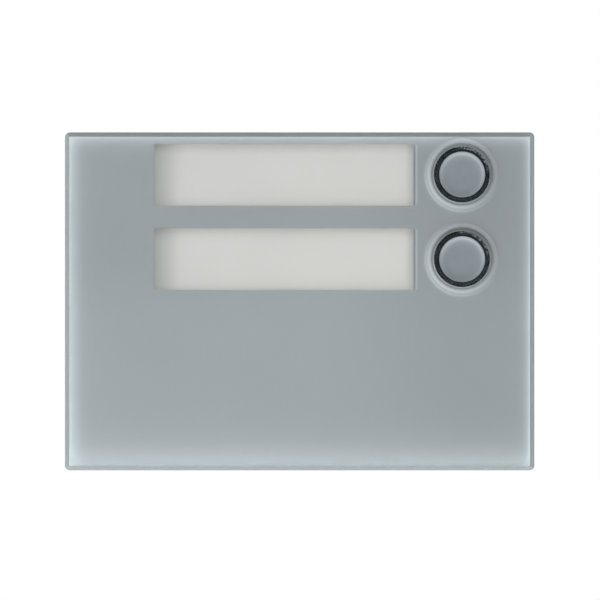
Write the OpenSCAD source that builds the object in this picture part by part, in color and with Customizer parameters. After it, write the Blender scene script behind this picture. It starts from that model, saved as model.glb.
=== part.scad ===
// Door-entry call panel for a wall: glass front, two lit name windows, two push buttons.
// Millimetres, +Z up. The wall plane is y = 0 and the glass looks towards -Y.
// Depths are counted from the front face of the glass towards the wall.

/* [Glass front] */
// Width of the glass front
panel_w = 125; // [106:1:160]
// Height of the glass front
panel_h = 90; // [80:1:120]
// Thickness of the glass
glass_t = 4; // [3:0.5:6]
// Radius of the glass corners
corner_r = 1.3; // [0.8:0.1:2]
// Width of the polished arris, seen from the front
arris_w = 1.2; // [0.4:0.1:2]
// Depth of the polished arris along the glass edge
arris_depth = 0.9; // [0.4:0.1:2]
// How far the glass stands out past the body at the left and right
overhang_x = 1.5; // [1.4:0.1:3]
// How far the glass stands out past the body at the top and bottom
overhang_z = 0.8; // [0.5:0.1:1]

/* [Call rows] */
// Rows the front is divided into, of which the top two are fitted
rows = 4; // [3:1:4]
// Height of the printed strip between two name windows
row_gap = 6; // [5:0.5:8]
// Left edge of the glass to the name window
window_inset = 23.6; // [12:0.1:30]
// Name window to the middle of the button
window_to_button = 12.85; // [12.5:0.05:20]
// Middle of the button to the right edge of the glass
button_inset = 19.3; // [18:0.1:24]

/* [Push buttons] */
// Diameter of the button cap
cap_d = 12.2; // [9:0.1:13]
// Width of the black collar seen round the cap
collar_w = 1.25; // [0.8:0.05:1.6]
// Serrations round the collar
collar_teeth = 60; // [36:4:72]
// How far the cap stands out of the glass
cap_proud = 1; // [0.6:0.1:2]
// How far the collar stands out of the glass
collar_proud = 0.4; // [0.2:0.1:0.6]
// How far the button goes in
button_travel = 1.2; // [0.6:0.1:1.6]
// Depth of the finger dish in the cap
dish_depth = 0.35; // [0.2:0.05:0.6]
// Width of the countersink round each hole in the glass
sink_w = 2.1; // [1:0.1:2.4]
// Depth of the countersink
sink_depth = 1.1; // [0.6:0.1:1.6]

/* [Name cards] */
// Thickness of the name card
card_t = 0.3; // [0.2:0.05:0.5]
// Depth of the clear card holder
holder_t = 2.8; // [2.4:0.1:3.6]

/* [Body] */
// Thickness of the carrier behind its card channels
carrier_floor = 1.5; // [1.2:0.1:2.5]
// Wall thickness of the rear housing
wall_t = 1.8; // [1.5:0.1:2]
// Thickness of the housing's back wall
back_t = 2; // [1.6:0.1:3]
// Room for components behind the circuit board
component_room = 3.5; // [3.5:0.5:12]
// Depth of the wiring recess at the wall
recess_depth = 6.5; // [6.5:0.5:16]
// Thickness of the circuit board
board_t = 1.6; // [1:0.2:2]

/* [Wall plate] */
// Thickness of the steel wall plate
plate_t = 1.5; // [1.2:0.1:2]
// Wall screw holes in from the left and right edges of the glass
fix_inset_x = 14.5; // [13:0.5:18]
// Wall screw holes in from the top and bottom edges of the glass
fix_inset_z = 17; // [15:0.5:20]
// Diameter of the wall screw holes
fix_hole_d = 4.4; // [3.6:0.1:5]
// Spacing of the two slots for a round wall box
box_spacing = 60; // [50:1:64]
// Diameter of the cable hole in the bushing
cable_d = 16; // [10:1:18]

/* [Fits] */
// Radial clearance of parts that slide in each other
running_gap = 0.05; // [0.02:0.01:0.08]
// Gap between parts that must never touch
free_gap = 0.3; // [0.25:0.05:0.4]
// Clearance round parts that are fixed in each other
seat_gap = 0.02; // [0.01:0.01:0.05]

/* [Hidden] */
$fn = 64;
suffixes = ["upper", "lower"];
over = 1;       // how far a cut runs past the face it opens
merge = 0.2;    // how far a rib sinks into the wall it grows from

// Front plane
row_pitch = panel_h / rows;
window_h = row_pitch - row_gap;
window_x0 = -panel_w / 2 + window_inset;
button_x = panel_w / 2 - button_inset;
window_x1 = button_x - window_to_button;
window_mid = (window_x0 + window_x1) / 2;
function row_z(i) = panel_h / 2 - row_pitch * (i + 0.5);

// Depths of the stack
mask_t = 0.3;
tape_t = 1;
gasket_t = 0.5;
mask_inset = 0.5;
mask_d = glass_t;
tape_d = mask_d + mask_t;
carrier_d = tape_d + tape_t;
holder_d = tape_d + free_gap;
channel_back = holder_d + holder_t + free_gap;
carrier_back = channel_back + carrier_floor;
housing_d = carrier_back + gasket_t;

// Button stack
cap_r = cap_d / 2;
bore_r = cap_r + running_gap;
collar_r = bore_r + collar_w - running_gap;
tooth_depth = 0.25;
sleeve_r = collar_r - 0.05;
glass_hole_r = sleeve_r + 0.15;
clamp_r = collar_r + 1.2;
plunger_r = cap_r - 0.5;
flange_r = cap_r + 0.6;
flange_t = 1.2;
spigot_r = 3;
spigot_l = 1.5;
cap_end = 3;
flange_d = carrier_d + free_gap;
spring_room = button_travel + 2.5;
guide_r = flange_r + free_gap;
cup_r = guide_r + 1.5;
cup_floor = flange_d + flange_t + spring_room;
cup_end = cup_floor + 1;
foot_r = 2.2;
foot_end = cup_end + 0.2;
spring_r = (foot_r + guide_r) / 2;
wire_r = 0.25;
spring_turns = 3.5;
oring_r = 0.4;
oring_d = 1.4;

// Switch and board
case_w = 6.2;
case_d = foot_end + button_travel + free_gap;
case_h = 3.2;
stem_r = 1.2;
stem_body_r = 1.75;
board_d = case_d + case_h;
board_back = board_d + board_t;
back_d = board_back + component_room;
recess_d = back_d + back_t;
body_depth = recess_d + recess_depth;
plate_d = body_depth - plate_t;

// Body outlines
body_w = panel_w - 2 * overhang_x;
body_h = panel_h - 2 * overhang_z;
body_r = 2.2;
inner_w = body_w - 2 * wall_t;
inner_h = body_h - 2 * wall_t;
inner_r = 1;
board_w = panel_w - 25;
board_h = panel_h - 13;

// Card channel, from the middle of its row outwards
card_h = window_h + 0.7;
card_x0 = window_x0 - 2.2;
card_x1 = window_x1 + 2;
holder_wall = 0.5;
holder_h = card_h + 0.2 + 2 * holder_wall;
holder_x1 = card_x1 + 0.2;
channel_h = holder_h + 2 * free_gap;
channel_x1 = holder_x1 + free_gap;
pocket_front = 0.8;

// Light path
light_w = window_x1 - window_x0 - 3;
light_h = window_h - 2.5;
light_wall = 1;
diffuser_t = 1;
diffuser_w = window_x1 - window_x0 + 1;
diffuser_h = window_h + 0.2;
led_step = light_w / 3;

// Screws
boss_x = inner_w / 2 - 3.7;
boss_z = inner_h / 2 - 4.4;
boss_r = 3.2;
body_screw_r = 1.3;
head_r = 2.6;
board_screw_r = 1.1;
post_r = 2.6;
posts = [[-(board_w / 2 - 3.5), board_h / 2 - 3.5],
         [window_x1 + 1.7, (row_z(0) + row_z(1)) / 2],
         [-(board_w / 2 - 3.5), -(board_h / 2 - 3.5)],
         [board_w / 2 - 3.5, -(board_h / 2 - 3.5)]];

// Terminals
poles = 4;
pole_pitch = 5.08;
terminal_x = -12;
terminal_z = -14;
terminal_w = poles * pole_pitch + 0.6;
terminal_h = 8.4;
terminal_end = recess_d + 1.5;
socket_x = 12;
socket_w = 15;
socket_h = 9;
socket_wall = 1;
pin_pitch = 2.54;
pin_w = 0.64;
opening_w = 49;
opening_top = terminal_z + terminal_h / 2 + 1.5;
opening_h = 18.2;

// Wall plate
plate_w = inner_w - 2.4;
plate_h = inner_h - 2.8;
fix_x = panel_w / 2 - fix_inset_x;
fix_z = panel_h / 2 - fix_inset_z;
slot_l = 9;
cable_z = -26;
cable_r = cable_d / 2;
bushing_r = cable_r + 2;
bushing_lip = 1.2;
hook_x = body_w / 2 - 31;
hook_w = 12;
hook_reach = 4;
hook_top = inner_h / 2 - 0.5;
leg_z = plate_h / 2 - 2.5;
lock_x = body_w / 2 - 21;
lock_w = 12;
lock_d = plate_d - 2.3;
lock_r = 1.5;
lock_head_r = 2.8;

// Turns a flat outline into a plate between two depths
module slab(d0, d1) {
    rotate([90, 0, 0]) translate([0, 0, body_depth - d1]) linear_extrude(d1 - d0) children();
}

// Box between two x, two z and two depths
module block(x0, x1, z0, z1, d0, d1) {
    translate([x0, d0 - body_depth, z0]) cube([x1 - x0, d1 - d0, z1 - z0]);
}

// Round bar between two depths, with its own radius at each end
module bar(x, z, d0, d1, r_front, r_back) {
    translate([x, d1 - body_depth, z]) rotate([90, 0, 0]) cylinder(h = d1 - d0, r1 = r_back, r2 = r_front);
}

// Turned piece: profile points are radius and depth
module turned(x, z, profile) {
    translate([x, -body_depth, z]) rotate([-90, 0, 0]) rotate_extrude() polygon(profile);
}

module rounded(w, h, r) {
    square([w - 2 * r, h], center = true);
    square([w, h - 2 * r], center = true);
    for (x = [-1, 1], z = [-1, 1]) translate([x * (w / 2 - r), z * (h / 2 - r)]) circle(r);
}

module name_windows() {
    for (i = [0, 1]) translate([window_mid, row_z(i)]) square([window_x1 - window_x0, window_h], center = true);
}

// Outline of the glass across one of its sides, with the arris cut off at the front
function arris_outline(w) =
    let (e = 1, y = arris_depth * (1 + e / arris_w))
    [[-w / 2 + arris_w, 0], [w / 2 - arris_w, 0], [w / 2 + e, y], [w / 2 + e, glass_t + over],
     [-w / 2 - e, glass_t + over], [-w / 2 - e, y]];

module front_glass() color([0.80, 0.86, 0.88, 0.5]) difference() {
    intersection() {
        slab(0, glass_t) rounded(panel_w, panel_h, corner_r);
        translate([0, -body_depth, -panel_h]) linear_extrude(2 * panel_h) polygon(arris_outline(panel_w));
        translate([-panel_w, -body_depth, 0]) rotate([90, 0, 90]) linear_extrude(2 * panel_w)
            polygon([for (p = arris_outline(panel_h)) [p[1], p[0]]]);
    }
    for (i = [0, 1]) {
        bar(button_x, row_z(i), -over, glass_t + over, glass_hole_r, glass_hole_r);
        bar(button_x, row_z(i), -over, sink_depth, glass_hole_r + sink_w * (1 + over / sink_depth), glass_hole_r);
    }
}

module printed_mask() color([0.62, 0.65, 0.67]) slab(mask_d, tape_d) difference() {
    rounded(panel_w - 2 * mask_inset, panel_h - 2 * mask_inset, corner_r);
    name_windows();
    for (i = [0, 1]) translate([button_x, row_z(i)]) circle(sleeve_r + free_gap);
}

module bonding_tape() color([0.10, 0.10, 0.11]) difference() {
    slab(tape_d, carrier_d) rounded(body_w - 2.4, body_h - 2.4, body_r);
    for (i = [0, 1]) {
        block(-panel_w, channel_x1 + 0.5, row_z(i) - channel_h / 2 - 0.2, row_z(i) + channel_h / 2 + 0.2,
              tape_d - over, carrier_d + over);
        bar(button_x, row_z(i), tape_d - over, carrier_d + over, clamp_r + free_gap, clamp_r + free_gap);
    }
}

module front_carrier() color([0.16, 0.17, 0.18]) difference() {
    union() {
        slab(carrier_d, carrier_back) rounded(body_w, body_h, body_r);
        slab(carrier_back - merge, carrier_back + 2) difference() {
            square([inner_w - 2 * free_gap, inner_h - 2 * free_gap], center = true);
            square([inner_w - 2 * free_gap - 2.4, inner_h - 2 * free_gap - 2.4], center = true);
        }
        for (i = [0, 1]) {
            bar(button_x, row_z(i), carrier_back - merge, cup_end, cup_r, cup_r);
            block(window_mid - light_w / 2 - light_wall, window_mid + light_w / 2 + light_wall,
                  row_z(i) - light_h / 2 - light_wall, row_z(i) + light_h / 2 + light_wall,
                  carrier_back - merge, board_d - 0.5);
        }
        for (x = [-1, 1], z = [-1, 1]) bar(x * boss_x, z * boss_z, carrier_back - merge, back_d, boss_r, boss_r);
        for (p = posts) bar(p[0], p[1], carrier_back - merge, board_d, post_r, post_r);
    }
    for (i = [0, 1]) {
        block(-panel_w, channel_x1, row_z(i) - channel_h / 2, row_z(i) + channel_h / 2,
              carrier_d - over, channel_back);
        block(window_mid - light_w / 2, window_mid + light_w / 2, row_z(i) - light_h / 2, row_z(i) + light_h / 2,
              channel_back - over, board_d);
        block(window_mid - diffuser_w / 2, window_mid + diffuser_w / 2,
              row_z(i) - diffuser_h / 2, row_z(i) + diffuser_h / 2,
              channel_back - over, channel_back + diffuser_t);
        bar(button_x, row_z(i), carrier_d - over, cup_floor, guide_r, guide_r);
        bar(button_x, row_z(i), cup_floor - over, cup_end + over, foot_r + running_gap, foot_r + running_gap);
    }
    for (x = [-1, 1], z = [-1, 1])
        bar(x * boss_x, z * boss_z, back_d - 10, back_d + over, body_screw_r + seat_gap, body_screw_r + seat_gap);
    for (p = posts)
        bar(p[0], p[1], board_d - 5.5, board_d + over, board_screw_r + seat_gap, board_screw_r + seat_gap);
}

// Clear sleeve that holds a card, with an end plate that shuts its channel and gives a fingernail grip
module card_holder(i) color([0.86, 0.90, 0.92, 0.5]) difference() {
    union() {
        block(-body_w / 2 - free_gap - merge, holder_x1, row_z(i) - holder_h / 2, row_z(i) + holder_h / 2,
              holder_d, holder_d + holder_t);
        block(-panel_w / 2 + 0.1, -body_w / 2 - free_gap, row_z(i) - channel_h / 2 - 0.4,
              row_z(i) + channel_h / 2 + 0.4, holder_d, holder_d + holder_t + 1.2);
    }
    block(card_x0 - 0.1, holder_x1 + over, row_z(i) - card_h / 2 - 0.1, row_z(i) + card_h / 2 + 0.1,
          holder_d + pocket_front, holder_d + holder_t - pocket_front);
    block(-body_w / 2 + 1, card_x0 - 1.5, row_z(i) - card_h / 2, row_z(i) + card_h / 2,
          holder_d + pocket_front, holder_d + holder_t + over);
    block(-panel_w / 2, -panel_w / 2 + 0.5, row_z(i) - 5, row_z(i) + 5, holder_d + 1.4, holder_d + 2.2);
}

module name_card(i) color([0.86, 0.86, 0.83])
    block(card_x0, card_x1, row_z(i) - card_h / 2, row_z(i) + card_h / 2,
          holder_d + holder_t - pocket_front - card_t, holder_d + holder_t - pocket_front);

module light_diffuser(i) color([0.93, 0.93, 0.90])
    block(window_mid - diffuser_w / 2 + 0.1, window_mid + diffuser_w / 2 - 0.1,
          row_z(i) - diffuser_h / 2 + 0.1, row_z(i) + diffuser_h / 2 - 0.1,
          channel_back, channel_back + diffuser_t);

module button_cap(i) color([0.58, 0.60, 0.61]) {
    dish_r = cap_r - 0.6;
    ball_r = (dish_r * dish_r + dish_depth * dish_depth) / (2 * dish_depth);
    difference() {
        turned(button_x, row_z(i),
            [[0, -cap_proud], [cap_r - 0.3, -cap_proud], [cap_r, 0.3 - cap_proud], [cap_r, oring_d - oring_r - 0.05],
             [cap_r - 2 * oring_r, oring_d - oring_r - 0.05], [cap_r - 2 * oring_r, oring_d + oring_r + 0.05],
             [cap_r, oring_d + oring_r + 0.05], [cap_r, cap_end], [spigot_r + seat_gap, cap_end],
             [spigot_r + seat_gap, cap_end - spigot_l], [0, cap_end - spigot_l]]);
        translate([button_x, -body_depth - cap_proud + dish_depth - ball_r, row_z(i)]) sphere(ball_r, $fn = 128);
    }
}

module button_oring(i) color([0.07, 0.07, 0.07])
    translate([button_x, -body_depth + oring_d, row_z(i)]) rotate([-90, 0, 0])
        rotate_extrude() translate([cap_r - oring_r + running_gap / 2, 0]) circle(oring_r);

module button_collar(i) color([0.08, 0.08, 0.09]) difference() {
    union() {
        translate([button_x, 0, row_z(i)]) slab(0.2 - collar_proud, 0.8 - collar_proud)
            polygon([for (k = [0 : 2 * collar_teeth - 1])
                let (a = 180 * k / collar_teeth, r = collar_r - tooth_depth * (k % 2)) [r * cos(a), r * sin(a)]]);
        turned(button_x, row_z(i),
            [[0, -collar_proud], [collar_r - 0.5, -collar_proud], [collar_r - 0.3, 0.2 - collar_proud],
             [collar_r - 0.3, 0.8 - collar_proud], [sleeve_r, 0.8 - collar_proud], [sleeve_r, tape_d],
             [clamp_r, tape_d], [clamp_r, carrier_d], [0, carrier_d]]);
    }
    bar(button_x, row_z(i), -over - collar_proud, carrier_d + over, bore_r, bore_r);
}

module button_plunger(i) color([0.88, 0.88, 0.86]) difference() {
    turned(button_x, row_z(i),
        [[0, cap_end - spigot_l], [spigot_r, cap_end - spigot_l], [spigot_r, cap_end], [plunger_r, cap_end],
         [plunger_r, flange_d], [flange_r, flange_d], [flange_r, flange_d + flange_t],
         [foot_r, flange_d + flange_t], [foot_r, foot_end], [0, foot_end]]);
    bar(button_x, row_z(i), foot_end - 1.5, foot_end + over, stem_r + seat_gap, stem_r + seat_gap);
}

// Round wire wound round the plunger's foot
module button_spring(i) color([0.75, 0.76, 0.78]) {
    sides = 8;
    steps = floor(spring_turns * 20);
    length = spring_room - 0.3;
    points = [for (s = [0 : steps], k = [0 : sides - 1])
        let (a = 360 * spring_turns * s / steps, b = 360 * k / sides, r = spring_r + wire_r * cos(b))
        [r * cos(a), wire_r + (length - 2 * wire_r) * s / steps + wire_r * sin(b), r * sin(a)]];
    sheath = [for (s = [0 : steps - 1], k = [0 : sides - 1], half = [0, 1])
        let (p = s * sides + k, q = s * sides + (k + 1) % sides)
        half == 0 ? [p, q, q + sides] : [p, q + sides, p + sides]];
    translate([button_x, flange_d + flange_t + 0.15 - body_depth, row_z(i)])
        polyhedron(points, concat(sheath, [[for (k = [sides - 1 : -1 : 0]) k], [for (k = [0 : sides - 1]) steps * sides + k]]));
}

module switch_case(i) color([0.12, 0.12, 0.13]) difference() {
    block(button_x - case_w / 2, button_x + case_w / 2, row_z(i) - case_w / 2, row_z(i) + case_w / 2, case_d, board_d);
    bar(button_x, row_z(i), case_d - over, board_d - 0.4, stem_body_r + running_gap, stem_body_r + running_gap);
}

module switch_stem(i) color([0.75, 0.16, 0.12])
    turned(button_x, row_z(i),
        [[0, foot_end - 1.5], [stem_r, foot_end - 1.5], [stem_r, case_d - 0.6], [stem_body_r, case_d - 0.6],
         [stem_body_r, board_d - 0.7 - button_travel], [0, board_d - 0.7 - button_travel]]);

module circuit_board() color([0.08, 0.32, 0.18]) difference() {
    slab(board_d, board_back) square([board_w, board_h], center = true);
    for (p = posts) bar(p[0], p[1], board_d - over, board_back + over, board_screw_r + 0.2, board_screw_r + 0.2);
}

module backlight_leds() color([0.95, 0.93, 0.70])
    for (i = [0, 1], k = [-1 : 1])
        block(window_mid + k * led_step - 1.75, window_mid + k * led_step + 1.75, row_z(i) - 1.4, row_z(i) + 1.4,
              board_d - 0.8, board_d);

module processor_chip() color([0.06, 0.06, 0.07]) {
    block(15, 25, 7, 17, board_back + 0.2, board_back + 1.4);
    for (side = [0 : 3], k = [-3.5 : 3.5]) translate([20, 0, 12]) rotate([0, 90 * side, 0])
        block(4.8, 6, k * 1.1 - 0.2, k * 1.1 + 0.2, board_back, board_back + 0.5);
}

module capacitors() color([0.72, 0.73, 0.75])
    for (k = [0 : 2]) bar(-34 + 7 * k, 12, board_back, board_back + component_room - 0.4, 2.4, 2.4);

module chip_resistors() color([0.20, 0.20, 0.22])
    for (x = [0 : 4], z = [0, 1]) block(-8 + 3.4 * x, -6 + 3.4 * x, 8 + 3.2 * z, 9.2 + 3.2 * z, board_back, board_back + 0.6);

module terminal_block() color([0.12, 0.40, 0.22]) difference() {
    block(terminal_x - terminal_w / 2, terminal_x + terminal_w / 2, terminal_z - terminal_h / 2,
          terminal_z + terminal_h / 2, board_back, terminal_end);
    for (k = [0 : poles - 1]) let (x = terminal_x + (k - (poles - 1) / 2) * pole_pitch) {
        bar(x, terminal_z, board_back + 2, terminal_end + over, 1.9, 1.9);
        block(x - 1.4, x + 1.4, terminal_z - terminal_h / 2 - over, terminal_z + 2.6, board_back + 0.8, board_back + 3.6);
    }
}

module terminal_screws() color([0.78, 0.79, 0.80])
    for (k = [0 : poles - 1]) let (x = terminal_x + (k - (poles - 1) / 2) * pole_pitch) difference() {
        union() {
            bar(x, terminal_z, terminal_end - 2.2, terminal_end - 0.8, 1.75, 1.75);
            bar(x, terminal_z, board_back + 3.2, terminal_end - 2, 1, 1);
        }
        block(x - 2, x + 2, terminal_z - 0.25, terminal_z + 0.25, terminal_end - 1.4, terminal_end);
    }

module terminal_clamps() color([0.80, 0.70, 0.45])
    for (k = [0 : poles - 1]) let (x = terminal_x + (k - (poles - 1) / 2) * pole_pitch)
        block(x - 1.3, x + 1.3, terminal_z - 3, terminal_z + 2.2, board_back + 2.6, board_back + 3.2);

module link_socket() color([0.90, 0.90, 0.86]) difference() {
    block(socket_x - socket_w / 2, socket_x + socket_w / 2, terminal_z - socket_h / 2, terminal_z + socket_h / 2,
          board_back, terminal_end - 0.5);
    block(socket_x - socket_w / 2 + socket_wall, socket_x + socket_w / 2 - socket_wall,
          terminal_z - socket_h / 2 + socket_wall, terminal_z + socket_h / 2 - socket_wall,
          board_back + 1.5, terminal_end + over);
    block(socket_x - 2, socket_x + 2, terminal_z + socket_h / 2 - socket_wall - 0.1, terminal_z + socket_h,
          board_back + 3, terminal_end + over);
    for (x = [-1.5 : 1.5], z = [-0.5, 0.5])
        block(socket_x + x * pin_pitch - pin_w / 2 - seat_gap, socket_x + x * pin_pitch + pin_w / 2 + seat_gap,
              terminal_z + z * pin_pitch - pin_w / 2 - seat_gap, terminal_z + z * pin_pitch + pin_w / 2 + seat_gap,
              board_back - over, board_back + 2);
}

module link_pins() color([0.85, 0.70, 0.30])
    for (x = [-1.5 : 1.5], z = [-0.5, 0.5])
        block(socket_x + x * pin_pitch - pin_w / 2, socket_x + x * pin_pitch + pin_w / 2,
              terminal_z + z * pin_pitch - pin_w / 2, terminal_z + z * pin_pitch + pin_w / 2,
              board_back, terminal_end - 1);

// Pan head screw pointing at the front, with a crossed slot
module pan_screw(x, z, head_d, head_t, head, shank, shank_l) difference() {
    union() {
        bar(x, z, head_d, head_d + head_t, head, head - 0.3);
        bar(x, z, head_d - shank_l, head_d + merge, shank, shank);
    }
    for (a = [0, 90]) translate([x, 0, z]) rotate([0, a, 0])
        block(-head * 0.55, head * 0.55, -0.3, 0.3, head_d + head_t * 0.45, head_d + head_t + over);
}

module board_screws() color([0.75, 0.76, 0.78])
    for (p = posts) pan_screw(p[0], p[1], board_back, 1.3, 2.3, board_screw_r, board_t + 5);

module body_gasket() color([0.06, 0.06, 0.07]) slab(carrier_back, housing_d) difference() {
    rounded(body_w - 0.6, body_h - 0.6, body_r);
    square([inner_w, inner_h], center = true);
}

module rear_housing() color([0.17, 0.18, 0.19]) difference() {
    union() {
        difference() {
            slab(housing_d, body_depth) rounded(body_w, body_h, body_r);
            slab(housing_d - over, back_d) rounded(inner_w, inner_h, inner_r);
            slab(recess_d, body_depth + over) rounded(inner_w, inner_h, inner_r);
        }
        for (x = [-1, 1])
            block(x * hook_x - hook_w / 2 - 1, x * hook_x + hook_w / 2 + 1, leg_z + 1.8, inner_h / 2 + merge,
                  plate_d - 2.2, plate_d - 0.3);
    }
    block(-opening_w / 2, opening_w / 2, opening_top - opening_h, opening_top, back_d - over, recess_d + over);
    for (x = [-1, 1], z = [-1, 1]) {
        bar(x * boss_x, z * boss_z, back_d - over, recess_d + over, body_screw_r + 0.3, body_screw_r + 0.3);
        bar(x * boss_x, z * boss_z, recess_d - 1.2, recess_d + over, head_r + 0.3, head_r + 0.3);
    }
    for (x = [-1, 1]) translate([x * lock_x, lock_d - body_depth, -body_h / 2]) {
        translate([0, 0, -over]) cylinder(h = wall_t + 2 * over, r = lock_r + 0.25);
        translate([0, 0, -over]) cylinder(h = over + 1.3, r1 = lock_head_r + 0.1 + over, r2 = lock_head_r - 1.2);
    }
    translate([0, 0, -body_h / 2 - over]) cylinder(h = wall_t + 2 * over, r = 2.5);
}

module housing_screws() color([0.75, 0.76, 0.78])
    for (x = [-1, 1], z = [-1, 1])
        pan_screw(x * boss_x, z * boss_z, recess_d - 1.2, 1.5, head_r, body_screw_r, back_t - 1.2 + 9);

module wall_plate() color([0.68, 0.70, 0.72]) difference() {
    union() {
        slab(plate_d, body_depth) rounded(plate_w, plate_h, 3);
        for (x = [-1, 1]) {
            block(x * hook_x - hook_w / 2, x * hook_x + hook_w / 2, leg_z, leg_z + 1.5, plate_d - hook_reach, plate_d + merge);
            block(x * hook_x - hook_w / 2, x * hook_x + hook_w / 2, leg_z, hook_top, plate_d - hook_reach, plate_d - hook_reach + 1.5);
            block(x * lock_x - lock_w / 2, x * lock_x + lock_w / 2, -plate_h / 2, -plate_h / 2 + 1.5, plate_d - 4.6, plate_d + merge);
        }
    }
    for (x = [-1, 1], z = [-1, 1])
        bar(x * fix_x, z * fix_z, plate_d - over, body_depth + over, fix_hole_d / 2, fix_hole_d / 2);
    for (x = [-1, 1]) {
        translate([x * box_spacing / 2, 0, 0]) {
            for (s = [-1, 1])
                bar(s * (slot_l - fix_hole_d) / 2, 0, plate_d - over, body_depth + over, fix_hole_d / 2, fix_hole_d / 2);
            block(-(slot_l - fix_hole_d) / 2, (slot_l - fix_hole_d) / 2, -fix_hole_d / 2, fix_hole_d / 2, plate_d - over, body_depth + over);
        }
        block(x * hook_x - hook_w / 2 - 0.5, x * hook_x + hook_w / 2 + 0.5, leg_z + 1.5, plate_h, plate_d - merge, body_depth + over);
        translate([x * lock_x, lock_d - body_depth, -plate_h / 2 - over]) cylinder(h = 2 * over + 1.5, r = lock_r + seat_gap);
    }
    bar(0, cable_z, plate_d - over, body_depth + over, bushing_r + seat_gap, bushing_r + seat_gap);
}

module locking_screws() color([0.75, 0.76, 0.78])
    for (x = [-1, 1]) translate([x * lock_x, lock_d - body_depth, -body_h / 2]) difference() {
        union() {
            translate([0, 0, 0.1]) cylinder(h = 1.3, r1 = lock_head_r, r2 = lock_r);
            translate([0, 0, 1]) cylinder(h = 7, r = lock_r);
        }
        translate([0, 0, -over]) cylinder(h = over + 1, r = 1.1, $fn = 6);
    }

module cable_bushing() color([0.07, 0.07, 0.08])
    turned(0, cable_z,
        [[cable_r, plate_d - bushing_lip], [bushing_r + 2, plate_d - bushing_lip], [bushing_r + 2, plate_d],
         [bushing_r, plate_d], [bushing_r, body_depth], [cable_r, body_depth]]);

paired = ["card_holder", "name_card", "light_diffuser", "button_cap", "button_oring", "button_collar",
          "button_plunger", "button_spring", "switch_case", "switch_stem"];

front_glass();
printed_mask();
bonding_tape();
front_carrier();
card_holder(0);  // card_holder_upper
card_holder(1);  // card_holder_lower
name_card(0);  // name_card_upper
name_card(1);  // name_card_lower
light_diffuser(0);  // light_diffuser_upper
light_diffuser(1);  // light_diffuser_lower
button_cap(0);  // button_cap_upper
button_cap(1);  // button_cap_lower
button_oring(0);  // button_oring_upper
button_oring(1);  // button_oring_lower
button_collar(0);  // button_collar_upper
button_collar(1);  // button_collar_lower
button_plunger(0);  // button_plunger_upper
button_plunger(1);  // button_plunger_lower
button_spring(0);  // button_spring_upper
button_spring(1);  // button_spring_lower
switch_case(0);  // switch_case_upper
switch_case(1);  // switch_case_lower
switch_stem(0);  // switch_stem_upper
switch_stem(1);  // switch_stem_lower
circuit_board();
backlight_leds();
processor_chip();
capacitors();
chip_resistors();
terminal_block();
terminal_screws();
terminal_clamps();
link_socket();
link_pins();
board_screws();
body_gasket();
rear_housing();
housing_screws();
wall_plate();
locking_screws();
cable_bushing();
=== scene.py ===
# Door-entry call panel on a plain studio ground. Lengths in the code are millimetres, turned to metres once.
from math import pi, radians

import bmesh
import bpy
import numpy as np
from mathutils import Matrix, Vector
from mathutils.geometry import delaunay_2d_cdt


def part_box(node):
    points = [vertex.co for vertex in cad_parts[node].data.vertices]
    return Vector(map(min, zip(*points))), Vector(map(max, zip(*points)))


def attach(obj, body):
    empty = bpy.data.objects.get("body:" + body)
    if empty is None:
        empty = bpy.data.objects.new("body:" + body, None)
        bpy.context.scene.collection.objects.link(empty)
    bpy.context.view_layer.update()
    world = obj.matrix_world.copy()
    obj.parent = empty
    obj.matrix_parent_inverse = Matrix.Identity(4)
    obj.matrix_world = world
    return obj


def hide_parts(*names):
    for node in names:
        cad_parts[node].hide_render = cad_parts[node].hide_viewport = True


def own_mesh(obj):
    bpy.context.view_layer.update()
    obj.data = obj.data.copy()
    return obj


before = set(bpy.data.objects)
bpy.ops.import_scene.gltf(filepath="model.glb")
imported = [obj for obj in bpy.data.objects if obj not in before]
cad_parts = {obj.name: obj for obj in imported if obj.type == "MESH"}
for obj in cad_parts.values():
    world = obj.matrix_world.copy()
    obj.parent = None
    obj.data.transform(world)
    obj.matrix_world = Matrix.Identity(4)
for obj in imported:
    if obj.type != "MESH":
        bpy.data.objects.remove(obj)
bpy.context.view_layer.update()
print("stage: frame loaded,", len(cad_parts), "nodes")

mm = 0.001
glassLow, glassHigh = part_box("front_glass")
frontY = glassLow.y / mm
panelWidth = (glassHigh.x - glassLow.x) / mm
panelHeight = (glassHigh.z - glassLow.z) / mm
rowNames = ("upper", "lower")


# Middle of a CAD node seen from the front, in millimetres
def middleOf(node):
    low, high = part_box(node)
    return np.array([(low.x + high.x) / 2, (low.z + high.z) / 2]) / mm


buttonMiddles = [middleOf(f"button_cap_{row}") for row in rowNames]
cardMiddles = [middleOf(f"name_card_{row}") for row in rowNames]

# Windows in the print: width and height, and the middle's place across the front. Each is level with its card
windowSize = np.array([69.25, 16.5])
windowX = -4.275
windowMiddles = [np.array([windowX, m[1]]) for m in cardMiddles]


# Hex colour to the linear values that shaders use: each sRGB channel through the standard curve
def linear(hexColour, alpha=1.0):
    channels = np.array([int(hexColour[k:k + 2], 16) for k in (1, 3, 5)]) / 255
    low = channels / 12.92
    high = ((channels + 0.055) / 1.055) ** 2.4
    return (*np.where(channels <= 0.04045, low, high), alpha)


# Pattern scale that makes one pattern period this many millimetres long in Object coordinates
def perMm(size):
    return 1000 / size


# Fills a node's sockets: another node's output is linked, anything else is set on the socket itself
def fill(tree, node, sockets):
    for key, value in sockets.items():
        if isinstance(value, bpy.types.NodeSocket):
            tree.links.new(value, node.inputs[key])
        else:
            node.inputs[key].default_value = value


# Adds one node with its settings and its sockets
def addNode(tree, kind, sockets=None, **settings):
    node = tree.nodes.new(kind)
    for key, value in settings.items():
        setattr(node, key, value)
    fill(tree, node, sockets or {})
    return node


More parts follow.
